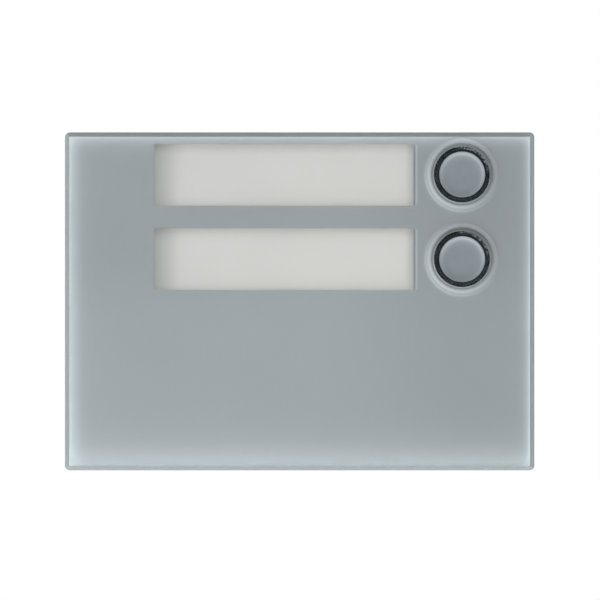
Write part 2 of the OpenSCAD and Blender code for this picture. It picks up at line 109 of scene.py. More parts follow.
# One arithmetic step on one or two values
def compute(tree, operation, a, b=0.0, clamp=False):
    return addNode(tree, "ShaderNodeMath", {0: a, 1: b}, operation=operation, use_clamp=clamp).outputs[0]


# Sum of two values, each times its own share
def weigh(tree, a, shareA, b, shareB):
    return compute(tree, "ADD", compute(tree, "MULTIPLY", a, shareA), compute(tree, "MULTIPLY", b, shareB))


# Value plus another one times an amount
def addTimes(tree, value, other, amount, clamp=False):
    return compute(tree, "ADD", value, compute(tree, "MULTIPLY", other, amount), clamp)


# Straight or smooth mapping of a value from one span to another, held at the ends
def remap(tree, value, fromLow, fromHigh, toLow, toHigh, smooth=False):
    kind = "SMOOTHSTEP" if smooth else "LINEAR"
    sockets = {"Value": value, 1: fromLow, 2: fromHigh, 3: toLow, 4: toHigh}
    return addNode(tree, "ShaderNodeMapRange", sockets, interpolation_type=kind).outputs[0]


# Colour between two colours by a factor
def blendColour(tree, factor, a, b):
    return addNode(tree, "ShaderNodeMix", {0: factor, 6: a, 7: b}, data_type="RGBA").outputs[2]


# New material with its tree, its shader and the piece's own coordinates
def startMaterial(name):
    material = bpy.data.materials.new(name)
    material.use_nodes = True
    tree = material.node_tree
    tree.nodes.clear()
    shader = addNode(tree, "ShaderNodeBsdfPrincipled")
    addNode(tree, "ShaderNodeOutputMaterial", {"Surface": shader.outputs[0]})
    place = addNode(tree, "ShaderNodeTexCoord").outputs["Object"]
    return material, tree, shader, place


# The piece's own X, Y and Z in millimetres
def spotInMm(tree, place):
    inMm = addNode(tree, "ShaderNodeVectorMath", {0: place, "Scale": 1000.0}, operation="SCALE").outputs[0]
    return addNode(tree, "ShaderNodeSeparateXYZ", {0: inMm}).outputs


# Distance from a button's middle, and how far that way lies towards a direction, from -1 to 1
def roundButton(tree, spot, middle, way):
    dx = compute(tree, "SUBTRACT", spot["X"], middle[0])
    dz = compute(tree, "SUBTRACT", spot["Z"], middle[1])
    squares = compute(tree, "ADD", compute(tree, "MULTIPLY", dx, dx), compute(tree, "MULTIPLY", dz, dz))
    radius = compute(tree, "SQRT", squares)
    return radius, compute(tree, "DIVIDE", weigh(tree, dx, way[0], dz, way[1]), radius)


# Height field to a shading normal, its full height in millimetres
def bumpFrom(tree, height, depthMm):
    sockets = {"Height": height, "Distance": depthMm * mm, "Strength": 1.0}
    return addNode(tree, "ShaderNodeBump", sockets).outputs[0]


# Noise whose patches are this many millimetres across, drawn out along an axis where stretch is under 1
def noiseAt(tree, place, sizeMm, detail=3.0, roughness=0.55, stretch=(1, 1, 1)):
    scaled = addNode(tree, "ShaderNodeMapping", {"Vector": place, "Scale": stretch}).outputs[0]
    sockets = {"Vector": scaled, "Scale": perMm(sizeMm), "Detail": detail, "Roughness": roughness}
    return addNode(tree, "ShaderNodeTexNoise", sockets).outputs["Fac"]


# Moulded, painted or plated solid: two close colours over a coarse noise mixed with a fine one, roughness over
# the fine one, and the fine noise as relief
def solidMaterial(name, look):
    material, tree, shader, place = startMaterial(name)
    stretch = look.get("stretch", (1, 1, 1))
    coarse = noiseAt(tree, place, look["patchMm"], stretch=stretch)
    fine = noiseAt(tree, place, look["grainMm"], 4.0, 0.6, stretch)
    factor = remap(tree, weigh(tree, coarse, 0.6, fine, 0.4), 0.35, 0.65, 0.0, 1.0)
    colour = blendColour(tree, factor, *map(linear, look["colours"]))
    fill(tree, shader, {
        "Base Color": colour,
        "Roughness": remap(tree, fine, 0.3, 0.7, *look["roughness"]),
        "Normal": bumpFrom(tree, fine, look["reliefMm"]),
        "Metallic": look.get("metallic", 0.0)})
    if "glow" in look:
        fill(tree, shader, {"Emission Color": colour, "Emission Strength": look["glow"]})
    return material


# What a user would change about the plain solids: two colours, roughness span, patch and grain in millimetres
solidLooks = {
    # spark-eroded mould texture: breaks the light up so that the body stays quiet behind the glass
    "Dark grey ABS, fine spark texture": dict(
        colours=("#3a3d40", "#43474a"), roughness=(0.5, 0.68), patchMm=14, grainMm=0.5, reliefMm=0.02),
    # open cells at the cut edge: soaks up light in the gap behind the glass
    "Black acrylic foam tape": dict(
        colours=("#151617", "#242526"), roughness=(0.8, 0.95), patchMm=2.5, grainMm=0.35, reliefMm=0.06),
    # slight bloom on the surface: a soft dull black
    "Black EPDM rubber": dict(
        colours=("#17181a", "#232527"), roughness=(0.6, 0.8), patchMm=5, grainMm=0.4, reliefMm=0.015),
    # a waxy off-white with a soft sheen
    "Natural acetal": dict(
        colours=("#e6e5dd", "#f1f0ea"), roughness=(0.35, 0.5), patchMm=5, grainMm=0.5, reliefMm=0.006),
    # milky sheet that spreads the lamps behind it
    "Opal acrylic sheet": dict(
        colours=("#eceae2", "#f6f5f0"), roughness=(0.25, 0.35), patchMm=12, grainMm=0.8, reliefMm=0.003),
    # drawn wire: fine lines along the turns
    "Spring steel wire": dict(
        colours=("#9da2a6", "#c3c7ca"), roughness=(0.2, 0.36), patchMm=1.2, grainMm=0.15, reliefMm=0.004,
        metallic=1.0),
    # filled epoxy with a faint bloom: a dead black with a grey cast
    "Black moulding compound": dict(
        colours=("#1b1c1e", "#292a2c"), roughness=(0.45, 0.62), patchMm=3, grainMm=0.2, reliefMm=0.008),
    # dyed right through: a small spot of dull red on each switch
    "Red nylon": dict(
        colours=("#8f1d18", "#a92a22"), roughness=(0.35, 0.5), patchMm=2, grainMm=0.3, reliefMm=0.006),
    # lamp face: phosphor under a clear lens, faintly lit
    "Phosphor under clear silicone": dict(
        colours=("#f3e3a0", "#fbf3cf"), roughness=(0.15, 0.25), patchMm=1.5, grainMm=0.2, reliefMm=0.004,
        glow=0.6),
    # drawn can: vertical draw lines
    "Drawn aluminium can": dict(
        colours=("#c4c7ca", "#dddfe1"), roughness=(0.22, 0.36), patchMm=3, grainMm=0.12, reliefMm=0.004,
        metallic=1.0, stretch=(1, 0.1, 1)),
    # filled and matt: a flat mid green, slightly cloudy
    "Green polyamide": dict(
        colours=("#2f7d4e", "#3a8e5b"), roughness=(0.4, 0.55), patchMm=4, grainMm=0.4, reliefMm=0.01),
    # bright passivated zinc: a cold, slightly mottled metal
    "Zinc-plated steel": dict(
        colours=("#b4b9bd", "#d2d6d8"), roughness=(0.22, 0.38), patchMm=1.8, grainMm=0.25, reliefMm=0.004,
        metallic=1.0),
    # bright-dipped: a warm, streaky shine where wires and plugs go in
    "Bright brass": dict(
        colours=("#c9a24f", "#dfbc6c"), roughness=(0.2, 0.34), patchMm=1.5, grainMm=0.2, reliefMm=0.003,
        metallic=1.0),
}
solids = {name: solidMaterial(name, look) for name, look in solidLooks.items()}


# Float glass: clear, a little green in the edge, faint rolling waves that only show in reflections
def glassMaterial(name, look):
    material, tree, shader, place = startMaterial(name)
    waves = noiseAt(tree, place, look["waveMm"], 1.0)
    tint = remap(tree, waves, 0.3, 0.7, 0.0, 1.0)
    fill(tree, shader, {
        "Base Color": blendColour(tree, tint, *map(linear, look["colours"])),
        "Normal": bumpFrom(tree, waves, look["waveDepthMm"]),
        "Roughness": look["roughness"],
        "IOR": look["ior"],
        "Transmission Weight": look.get("clear", 1.0)})
    return material


glassLooks = {
    # satin edge left by the grinding belt: catches the light as a pale line round the front
    "Float glass, ground edges": dict(
        colours=("#7b8482", "#848c8a"), roughness=0.42, ior=1.52, waveMm=0.4, waveDepthMm=0.01, clear=0.35),
    # clear with a cool cast and a sharp highlight on the arris
    "Float glass, polished edges": dict(
        colours=("#f9fcfb", "#fcfefd"), roughness=0.0, ior=1.52, waveMm=60, waveDepthMm=0.002),
    # water-clear, a little softer than the glass
    "Clear polycarbonate": dict(
        colours=("#fafafa", "#fcfcfc"), roughness=0.02, ior=1.58, waveMm=18, waveDepthMm=0.003),
}
clears = {name: glassMaterial(name, look) for name, look in glassLooks.items()}

# Painted light and shade on the print. Edges, in the order left, right, bottom, top: how much paler the print
# is painted where light pools in the glass, and over how many millimetres, starting edgeStart in from the glass
# edge. Painted shade towards the
# right and the top: from where to where the print grows darker, and how much. Painted light and shade in rings
# round a button
# hole: radius, width, change all round, change towards ringWay. A painted shade line and a painted highlight
# line beside the
# windows: place, width, change, and a fade length for how they fade out at each end.
printLook = dict(colours=("#a8aeb0", "#b5bbbd"), roughness=(0.42, 0.55), metallic=0.3, flakeMm=0.18, cloudMm=45,
                 edgeGain=(1.9, 1.8, 1.15, 1.3), edgeReach=(1.4, 1.0, 2.8, 1.3), edgeStart=0.9,
                 rightPaintedShade=(5, 55, -0.11), topPaintedShade=(-10, 20, -0.08), ringWay=(0.72, 0.69),
                 rings=((9.4, 0.6, 0.28, -0.38), (9.0, 0.5, -0.05, -0.16), (8.6, 0.2, -0.2, 0.2),
                        (8.15, 0.22, 0.3, -0.1)),
                 paintedLines=((30.62, 0.2, -0.3), (31.15, 0.24, 0.38)), paintedLineFade=0.6)


# Bell curve round zero: e to the power of minus the square
def bell(tree, value, width):
    share = compute(tree, "DIVIDE", value, width)
    return compute(tree, "EXPONENT", compute(tree, "MULTIPLY", compute(tree, "MULTIPLY", share, share), -1.0))


# Silver print under glass: tiny flakes that each lean their own way over a slow cloudiness, with painted light:
# paler where light pools in the glass along the outline, painted light and shade in rings round the button
# holes, painted shade towards the right and the top, and painted shade and highlight lines beside the windows
def printMaterial(look):
    material, tree, shader, place = startMaterial("Silver-grey metallic print")
    cells = addNode(tree, "ShaderNodeTexVoronoi", {"Vector": place, "Scale": perMm(look["flakeMm"])})
    flake = addNode(tree, "ShaderNodeSeparateColor", {"Color": cells.outputs["Color"]}).outputs[0]
    cloud = noiseAt(tree, place, look["cloudMm"], 2.0)
    colour = blendColour(tree, weigh(tree, flake, 0.35, cloud, 0.65), *map(linear, look["colours"]))
    spot = spotInMm(tree, place)
    # gain scales the print's colour: it carries all the painted light and shade below
    gain = 1.0
    # painted shade: the print grows darker towards the right and the top
    for value, (start, end, change) in ((spot["X"], look["rightPaintedShade"]), (spot["Z"], look["topPaintedShade"])):
        gain = compute(tree, "ADD", gain, remap(tree, value, start, end, 0.0, change, True))
    ways = ((spot["X"], 1, panelWidth), (spot["X"], -1, panelWidth), (spot["Z"], 1, panelHeight),
            (spot["Z"], -1, panelHeight))
    # painted light: paler near each edge, where light pools in the glass
    for (value, sign, span), amount, reach in zip(ways, look["edgeGain"], look["edgeReach"]):
        inward = compute(tree, "ADD", compute(tree, "MULTIPLY", value, sign), span / 2 - look["edgeStart"])
        fall = compute(tree, "EXPONENT", compute(tree, "MULTIPLY", inward, -1 / reach))
        gain = addTimes(tree, gain, compute(tree, "MINIMUM", fall, 1.0), amount)
    # painted light and shade: bright and dark rings round each hole, stronger on the side facing ringWay
    for middle in buttonMiddles:
        radius, facing = roundButton(tree, spot, middle, look["ringWay"])
        for ringR, width, level, lean in look["rings"]:
            ring = bell(tree, compute(tree, "SUBTRACT", radius, ringR), width)
            amount = compute(tree, "ADD", compute(tree, "MULTIPLY", facing, lean), level)
            gain = addTimes(tree, gain, ring, amount)
    # a painted shade line and a painted highlight line beside each window's end
    for paintedLineX, width, change in look["paintedLines"]:
        paintedLine = bell(tree, compute(tree, "SUBTRACT", spot["X"], paintedLineX), width)
        for middle in windowMiddles:
            offset = compute(tree, "ABSOLUTE", compute(tree, "SUBTRACT", spot["Z"], middle[1]))
            end = windowSize[1] / 2
            level = remap(tree, offset, end - look["paintedLineFade"], end, change, 0.0)
            gain = addTimes(tree, gain, paintedLine, level)
    lit = addNode(tree, "ShaderNodeVectorMath", {0: colour, "Scale": gain}, operation="SCALE").outputs[0]
    fill(tree, shader, {
        "Base Color": lit,
        "Roughness": remap(tree, flake, 0, 1, *look["roughness"]),
        "Metallic": look["metallic"]})
    return material


silverPrint = printMaterial(printLook)

# Painted shade: how grey the card is painted where the frame shades it, and over how many millimetres into the
# window.
# Glow: a painted glow that stands in for the lamps behind shining through
cardLook = dict(colours=("#f0ebe6", "#f6f2ee"), paintedShade="#a5a4a0", fibreMm=0.6, reliefMm=0.01, roughness=0.85,
                glow=0.34, leftShade=0.75, leftReach=9.0, rightShade=0.5, rightReach=3.0, topShade=0.4,
                topReach=3.5, underFrame=1.0, rowReach=10.0)


# Uncoated card: short fibres lying along the strip, warm white, with a painted glow standing in for the lamps
# behind it, and painted shade under the frame at both ends and along the top
def cardMaterial(look):
    material, tree, shader, place = startMaterial("Uncoated card, warm white")
    fibres = noiseAt(tree, place, look["fibreMm"], 5.0, 0.65, (0.25, 1, 1))
    colour = blendColour(tree, fibres, *map(linear, look["colours"]))
    spot = spotInMm(tree, place)
    left = windowMiddles[0][0] - windowSize[0] / 2
    right = windowMiddles[0][0] + windowSize[0] / 2
    under = look["underFrame"]
    x, z = spot["X"], spot["Z"]
    fromLeft = remap(tree, x, left - under, left + look["leftReach"], look["leftShade"], 0.0, True)
    fromRight = remap(tree, x, right - look["rightReach"], right + under, 0.0, look["rightShade"], True)
    paintedShade = compute(tree, "ADD", fromLeft, fromRight)
    for middle in windowMiddles:
        top = middle[1] + windowSize[1] / 2
        near = remap(tree, z, top - look["topReach"], top + under, 0.0, look["topShade"], True)
        offset = compute(tree, "ABSOLUTE", compute(tree, "SUBTRACT", z, middle[1]))
        paintedShade = addTimes(tree, paintedShade, near, compute(tree, "LESS_THAN", offset, look["rowReach"]), True)
    # painted shade of the frame mixed into the card's colour
    colour = blendColour(tree, paintedShade, colour, linear(look["paintedShade"]))
    # the emission is a painted glow standing in for the lamps shining through the card
    fill(tree, shader, {
        "Base Color": colour,
        "Emission Color": colour,
        "Emission Strength": look["glow"],
        "Normal": bumpFrom(tree, fibres, look["reliefMm"]),
        "Roughness": look["roughness"]})
    return material


cardPaper = cardMaterial(cardLook)

capLook = dict(colours=("#82898c", "#8e9497"), grainMm=0.12, patchMm=3.0, roughness=(0.27, 0.38),
               reliefMm=0.004, metallic=0.9)


# Blasted and anodised aluminium: even, fine-grained and soft, with a broad highlight across the dish
def capMaterial(look):
    material, tree, shader, place = startMaterial("Aluminium, bead-blasted and anodised")
    grain = noiseAt(tree, place, look["grainMm"], 3.0)
    patch = noiseAt(tree, place, look["patchMm"], 2.0)
    fill(tree, shader, {
        "Base Color": blendColour(tree, patch, *map(linear, look["colours"])),
        "Roughness": remap(tree, grain, 0.3, 0.7, *look["roughness"]),
        "Normal": bumpFrom(tree, grain, look["reliefMm"]),
        "Metallic": look["metallic"]})
    return material


capAluminium = capMaterial(capLook)

# Painted highlights where the light catches the teeth: their pale colour, the radius outside which they lie,
# the way the lit side faces, and dashes about this many millimetres long
collarLook = dict(colours=("#010304", "#262e31"), patchMm=2.2, grainMm=0.55, reliefMm=0.02,
                  roughness=(0.24, 0.34), specular=0.14, paintedGlint="#9aa3a5", glintMm=0.7, glintNoise=(0.42, 0.6),
                  glintFrom=6.6, glintFade=0.4, glintWay=(0.6, 0.8), glintFacing=(0.6, 0.95))


# Moulded black nylon: near black with a faint grain, and painted highlights in pale dashes along the teeth on
# one side, where the light catches them
def collarMaterial(title, middle, look):
    material, tree, shader, place = startMaterial(f"Black nylon, semi-gloss, {title}")
    coarse = noiseAt(tree, place, look["patchMm"])
    fine = noiseAt(tree, place, look["grainMm"], 4.0, 0.6)
    tone = remap(tree, weigh(tree, coarse, 0.6, fine, 0.4), 0.35, 0.65, 0.0, 1.0)
    ground = blendColour(tree, tone, *map(linear, look["colours"]))
    radius, facing = roundButton(tree, spotInMm(tree, place), middle, look["glintWay"])
    side = remap(tree, facing, *look["glintFacing"], 0.0, 1.0, True)
    outside = remap(tree, radius, look["glintFrom"], look["glintFrom"] + look["glintFade"], 0.0, 1.0, True)
    dashes = remap(tree, noiseAt(tree, place, look["glintMm"], 1.0), *look["glintNoise"], 0.0, 1.0, True)
    # painted highlights: pale dashes on the teeth of the lit side
    paintedGlint = compute(tree, "MULTIPLY", compute(tree, "MULTIPLY", side, outside), dashes)
    fill(tree, shader, {
        "Base Color": blendColour(tree, paintedGlint, ground, linear(look["paintedGlint"])),
        "Roughness": remap(tree, fine, 0.3, 0.7, *look["roughness"]),
        "Normal": bumpFrom(tree, fine, look["reliefMm"]),
        "Specular IOR Level": look["specular"]})
    return material


boardLook = dict(mask=("#0f4a2a", "#1c6b3f"), cloudMm=6.0, track="#2c8a55", trackMm=2.4, trackShare=0.035,
                 reliefMm=0.03, roughness=0.3)


# Solder mask over copper: squared tracks a little lighter than the board between them
def boardMaterial(look):
    material, tree, shader, place = startMaterial("FR-4 with green solder mask")
    turned = addNode(tree, "ShaderNodeMapping", {"Vector": place, "Rotation": (pi / 2, 0, 0)}).outputs[0]
    sockets = {"Vector": turned, "Scale": perMm(look["trackMm"] * 4), "Mortar Size": look["trackShare"],
               "Color1": (0, 0, 0, 1), "Color2": (0.2, 0.2, 0.2, 1), "Mortar": (1, 1, 1, 1)}
    tracks = addNode(tree, "ShaderNodeTexBrick", sockets).outputs["Fac"]
    cloud = noiseAt(tree, place, look["cloudMm"])
    ground = blendColour(tree, cloud, *map(linear, look["mask"]))
    fill(tree, shader, {
        "Base Color": blendColour(tree, tracks, ground, linear(look["track"])),
        "Normal": bumpFrom(tree, tracks, look["reliefMm"]),
        "Roughness": look["roughness"]})
    return material


boardFr4 = boardMaterial(boardLook)

plateLook = dict(colours=("#a9aeb1", "#c3c7c9"), spangleMm=5.0, scratchMm=0.3, reliefMm=0.004,
                 roughness=(0.28, 0.5))


# Galvanised sheet: crystal-shaped patches of slightly different brightness and gloss
def plateMaterial(look):
    material, tree, shader, place = startMaterial("Galvanised steel sheet")
    sockets = {"Vector": place, "Scale": perMm(look["spangleMm"])}
    cells = addNode(tree, "ShaderNodeTexVoronoi", sockets)
    spangle = addNode(tree, "ShaderNodeSeparateColor", {"Color": cells.outputs["Color"]}).outputs[0]
    scratch = noiseAt(tree, place, look["scratchMm"], 4.0, 0.6, (0.1, 1, 1))
    tone = weigh(tree, spangle, 0.7, scratch, 0.3)
    fill(tree, shader, {
        "Base Color": blendColour(tree, tone, *map(linear, look["colours"])),
        "Roughness": remap(tree, tone, 0.2, 0.8, *look["roughness"]),
        "Normal": bumpFrom(tree, scratch, look["reliefMm"]),
        "Metallic": 1.0})
    return material


plateSteel = plateMaterial(plateLook)
print("stage: materials made,", len(bpy.data.materials))


# Mesh object at the origin from vertices in millimetres, closed and with its normals outwards
def makePiece(name, vertices, faces, material, sharpAngle=32):
    mesh = bpy.data.meshes.new(name)
    mesh.from_pydata((np.asarray(vertices) * mm).tolist(), [], faces)
    shape = bmesh.new()
    shape.from_mesh(mesh)
    bmesh.ops.recalc_face_normals(shape, faces=shape.faces)
    shape.to_mesh(mesh)
    shape.free()
    mesh.shade_smooth()
    mesh.set_sharp_from_angle(angle=radians(sharpAngle))
    mesh.materials.append(material)
    piece = bpy.data.objects.new(name, mesh)
    bpy.context.scene.collection.objects.link(piece)
    return piece


# Rounded rectangle seen from the front, drawn in by an inset: four quarter circles joined by straight sides
def roundedLoop(width, height, radius, inset=0.0, steps=10, middle=(0.0, 0.0)):
    small = max(radius - inset, 0.04)
    angles = np.linspace(0, pi / 2, steps)
    quarter = np.stack([np.cos(angles), np.sin(angles)], 1) * small
    corner = np.array([width / 2 - inset - small, height / 2 - inset - small])
    turns = [quarter, quarter[:, ::-1] * (-1, 1), -quarter, quarter[:, ::-1] * (1, -1)]
    signs = np.array([[1, 1], [-1, 1], [-1, -1], [1, -1]])
    return np.concatenate([t + s * corner for t, s in zip(turns, signs)]) + middle


# Circle seen from the front
def circleLoop(middle, radius, count=96):
    angles = np.linspace(0, 2 * pi, count, endpoint=False)
    return np.stack([np.cos(angles), np.sin(angles)], 1) * radius + middle


# Quads between neighbouring rings of the same length, each ring closed
def ringQuads(rings, count, start=0):
    row = np.arange(rings - 1)[:, None] * count + start
    along = np.arange(count)
    after = (along + 1) % count
    quads = np.stack([row + along, row + after, row + count + after, row + count + along], -1)
    return quads.reshape(-1, 4).tolist()


# Plate with holes: each edge is a list of (loop, depth) from the front to the back, and the two flat faces
# are filled between the first loops and between the last ones
def plateMesh(edges):
    vertices = []
    faces = []
    fronts = []
    backs = []
    start = 0
    for loops in edges:
        count = len(loops[0][0])
        rings = [np.insert(loop, 1, frontY + depth, axis=1) for loop, depth in loops]
        vertices.append(np.concatenate(rings))
        faces += ringQuads(len(loops), count, start)
        fronts.append(np.arange(count) + start)
        backs.append(np.arange(count) + start + (len(loops) - 1) * count)
        start += len(loops) * count
    vertices = np.concatenate(vertices)
    for side in (fronts, backs):
        order = np.concatenate(side)
        flat = list(map(Vector, vertices[order][:, (0, 2)].tolist()))
        first = np.cumsum([0] + [len(s) for s in side])
        borders = []
        for a, b in zip(first[:-1], first[1:]):
            here = np.arange(a, b)
            borders += np.stack([here, np.roll(here, -1)], 1).tolist()
        filled = delaunay_2d_cdt(flat, borders, [], 2, 1e-6)
        triangles = np.array(filled[2])
        middles = np.array(filled[0])[triangles].mean(1)
        outer = np.array(flat)[first[0]:first[1]]
        inside = insideLoop(middles, outer)
        for a, b in zip(first[1:-1], first[2:]):
            inside &= ~insideLoop(middles, np.array(flat)[a:b])
        origin = np.array(filled[3])[:, 0]
        faces += order[origin[triangles[inside]]].tolist()
    return vertices, faces


# Even-odd test of many points against one closed loop: count the edges crossed going right
def insideLoop(points, loop):
    following = np.roll(loop, -1, axis=0)
    px, pz = points[:, None, 0], points[:, None, 1]
    spans = (loop[:, 1] > pz) != (following[:, 1] > pz)
    rise = following[:, 1] - loop[:, 1]
    safe = np.where(rise == 0, 1, rise)
    crossing = loop[:, 0] + (pz - loop[:, 1]) / safe * (following[:, 0] - loop[:, 0])
    return (spans & (px < crossing)).sum(1) % 2 == 1


# How narrow the gaps between teeth are, and how far a gap drops at the front for each millimetre it goes in
toothGap = 0.6
toothDrop = 0.7


# Turned piece about an axis that runs into the wall: the profile is (radius, depth), from the axis round to
# the axis or closed on itself. A tooth wave cuts into radius and front where a point has a share of it
def turnedMesh(middle, profile, count=128, closed=False, teeth=0, toothDepth=0.0, toothShare=None):
    profile = np.asarray(profile, float)
    angles = np.linspace(0, 2 * pi, count, endpoint=False)
    share = np.zeros(len(profile)) if toothShare is None else np.asarray(toothShare, float)
    wave = 0.5 - 0.5 * np.cos(angles * teeth)
    along = np.arange(count)
    after = (along + 1) % count
    radius = profile[:, :1] - toothDepth * share[:, None] * wave ** toothGap
    x = middle[0] + radius * np.cos(angles)
    z = middle[1] + radius * np.sin(angles)
    y = frontY + profile[:, 1:] + toothDepth * toothDrop * share[:, None] * wave
    y = np.broadcast_to(y, x.shape)
    vertices = np.stack([x, y, z], -1).reshape(-1, 3)
    if closed:
        rings = len(profile)
        faces = ringQuads(rings, count)
        last = (rings - 1) * count
        faces += np.stack([last + along, last + after, after, along], 1).tolist()
        return vertices, faces
    inner = vertices[count:-count]
    poles = np.array([[middle[0], frontY + end, middle[1]] for end in profile[[0, -1], 1]])
    faces = ringQuads(len(profile) - 2, count)
    top = len(inner)
    last = (len(profile) - 3) * count
    faces += np.stack([np.full(count, top), after, along], 1).tolist()
    faces += np.stack([np.full(count, top + 1), last + along, last + after], 1).tolist()
    return np.concatenate([inner, poles]), faces


# Depth behind the glass front of a node's near and far faces, in millimetres
def depthsOf(node):
    low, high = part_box(node)
    return low.y / mm - frontY, high.y / mm - frontY


# Outline: corner, arris, back seam and soft edges. Button holes: radius, countersink and back seam.
# Ground: how far a face's normal turns to the front, from and to, where it carries the ground finish
glassShape = dict(cornerR=1.3, arrisW=1.2, arrisDepth=0.9, seamMm=0.2, roundMm=0.12, holeR=7.45, sinkW=2.1,
                  sinkDepth=1.1, holeSeamMm=0.1, ground=(0.3, 0.98))


# Edge profile of the glass as (distance in from the side, depth): flat, slope, side and seam, with points
# close beside each edge, at shares of the soft width, that keep the faces flat up to it
def glassEdge(slopeW, slopeDepth, softMm, seamMm, thickness):
    lean = np.array([slopeW, slopeDepth]) / np.hypot(slopeW, slopeDepth)
    top = np.array([slopeW, 0.0])
    foot = np.array([0.0, slopeDepth])
    along = np.array([-lean[0], lean[1]]) * softMm
    return [
        (slopeW + softMm * 1.4, 0.0), (slopeW + softMm * 0.9, 0.0), tuple(top + (softMm * 0.2, softMm * 0.1)),
        tuple(top + along), tuple(foot - along), (softMm * 0.12, slopeDepth + softMm * 0.25),
        (0.0, slopeDepth + softMm), (0.0, slopeDepth + softMm * 2), (0.0, thickness - seamMm - softMm),
        (0.0, thickness - seamMm), (seamMm, thickness), (seamMm + softMm, thickness)]


# Second material on the faces of a plate that lean away from the front and lie near its outline
def finishOutline(piece, halfWidth, halfHeight, reachMm, turned):
    faces = piece.data.polygons
    normals = np.empty(len(faces) * 3)
    centres = np.empty(len(faces) * 3)
    faces.foreach_get("normal", normals)
    faces.foreach_get("center", centres)
    facing = np.abs(normals.reshape(-1, 3)[:, 1])
    leaning = (facing > turned[0]) & (facing < turned[1])
    place = np.abs(centres.reshape(-1, 3)) / mm
    near = (place[:, 0] > halfWidth - reachMm) | (place[:, 2] > halfHeight - reachMm)
    faces.foreach_set("material_index", (leaning & near).astype(np.int32))


thickness = depthsOf("front_glass")[1]
outerEdge = glassEdge(*(glassShape[k] for k in ("arrisW", "arrisDepth", "roundMm", "seamMm")), thickness)
holeEdge = glassEdge(*(glassShape[k] for k in ("sinkW", "sinkDepth", "roundMm", "holeSeamMm")), thickness)
glassEdges = [[(roundedLoop(panelWidth, panelHeight, glassShape["cornerR"], inset, 12), depth)
               for inset, depth in outerEdge]]
for middle in buttonMiddles:
    glassEdges.append([(circleLoop(middle, glassShape["holeR"] + outward), depth)
                       for outward, depth in holeEdge])
glass = makePiece("GlassFront", *plateMesh(glassEdges), clears["Float glass, polished edges"], 20)
glass.data.materials.append(clears["Float glass, ground edges"])
finishOutline(glass, panelWidth / 2, panelHeight / 2, glassShape["arrisW"] + 0.02, glassShape["ground"])
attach(glass, "panel")
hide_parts("front_glass")

# The print sits in optical contact with the glass, so its face lies a hair inside it
filmShape = dict(inset=0.5, sunk=0.05, windowR=0.3, holeR=7.65)
filmBack = depthsOf("printed_mask")[1]
filmLevels = (thickness - filmShape["sunk"], filmBack)
filmEdges = [[(roundedLoop(panelWidth, panelHeight, glassShape["cornerR"], filmShape["inset"], 8), depth)
              for depth in filmLevels]]
for middle in windowMiddles:
    loop = roundedLoop(*windowSize, filmShape["windowR"], 0, 6, middle)
    filmEdges.append([(loop, depth) for depth in filmLevels])
for middle in buttonMiddles:
    filmEdges.append([(circleLoop(middle, filmShape["holeR"]), depth) for depth in filmLevels])
film = makePiece("PrintedFilm", *plateMesh(filmEdges), silverPrint)
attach(film, "panel")
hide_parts("printed_mask")
print("stage: glass and print made")

capShape = dict(radius=6.1, proud=1.0, dishR=5.95, dishDepth=0.45, dishPower=7, rimRound=0.06,
                grooveMiddle=1.4, groove=0.45, grooveDepth=0.8, end=3.0, socketR=3.02, socketDepth=1.5)


# Cap profile from the middle of the dish out over the rounded rim, down past the seal groove to the socket
def capProfile(s):
    t = np.linspace(0, 1, 14)
    dish = np.stack([t * s["dishR"], -s["proud"] + s["dishDepth"] * (1 - t ** s["dishPower"])], 1)
    a = np.linspace(0, pi / 2, 7)
    rimMiddle = s["radius"] - s["rimRound"]
    rim = np.stack([rimMiddle + s["rimRound"] * np.sin(a), -s["proud"] + s["rimRound"] * (1 - np.cos(a))], 1)
    low = s["grooveMiddle"] - s["groove"]
    high = s["grooveMiddle"] + s["groove"]
    deep = s["radius"] - s["grooveDepth"]
    socketFloor = s["end"] - s["socketDepth"]
    rest = [(s["radius"], low), (deep, low), (deep, high), (s["radius"], high), (s["radius"], s["end"]),
            (s["socketR"], s["end"]), (s["socketR"], socketFloor), (0, socketFloor)]
    return np.concatenate([dish, rim, rest])


# Brow: the toothed edge, as (in from the outer radius, down from the top, share of the tooth wave)
collarShape = dict(boreR=6.15, flat=0.4, outerR=7.4, sleeveR=7.35, clampR=8.6, proud=0.4, soft=0.14, teeth=60,
                   toothDepth=0.36, brow=((0.6, 0.03, 0.2), (0.3, 0.16, 0.8), (0.08, 0.34, 1), (0, 0.5, 1)),
                   toothEnd=1.1, sleeveFrom=1.3, clampFrom=4.3, end=5.3)


# Collar profile round its closed section, and how much of the tooth wave each point takes
def collarProfile(s):
    bore = [(s["boreR"], s["soft"], 0), (s["boreR"] + s["soft"] * 0.3, s["soft"] * 0.3, 0),
            (s["boreR"] + s["soft"], 0, 0), (s["boreR"] + s["flat"], 0, 0)]
    brow = [(s["outerR"] - inward, down, share) for inward, down, share in s["brow"]]
    sleeve = [(s["outerR"], s["toothEnd"], 1), (s["sleeveR"], s["sleeveFrom"], 0)]
    clamp = [(s["sleeveR"], s["clampFrom"], 0), (s["clampR"], s["clampFrom"], 0), (s["clampR"], s["end"], 0),
             (s["boreR"], s["end"], 0)]
    head = np.array(bore + brow + sleeve, float)
    head[:, 1] -= s["proud"]
    points = np.concatenate([head, clamp])
    return points[:, :2], points[:, 2]


sealShape = dict(middleR=5.725, depth=1.4, wireR=0.4, sides=20)
plungerShape = dict(plugR=3.0, plugFrom=1.5, soft=0.3, skirtR=5.6, skirtFrom=3.0, edge=0.15, flangeR=6.7,
                    flangeFrom=5.6, flangeTo=6.8, stemR=2.2, end=11.7, socketR=1.22, socketTo=10.2)


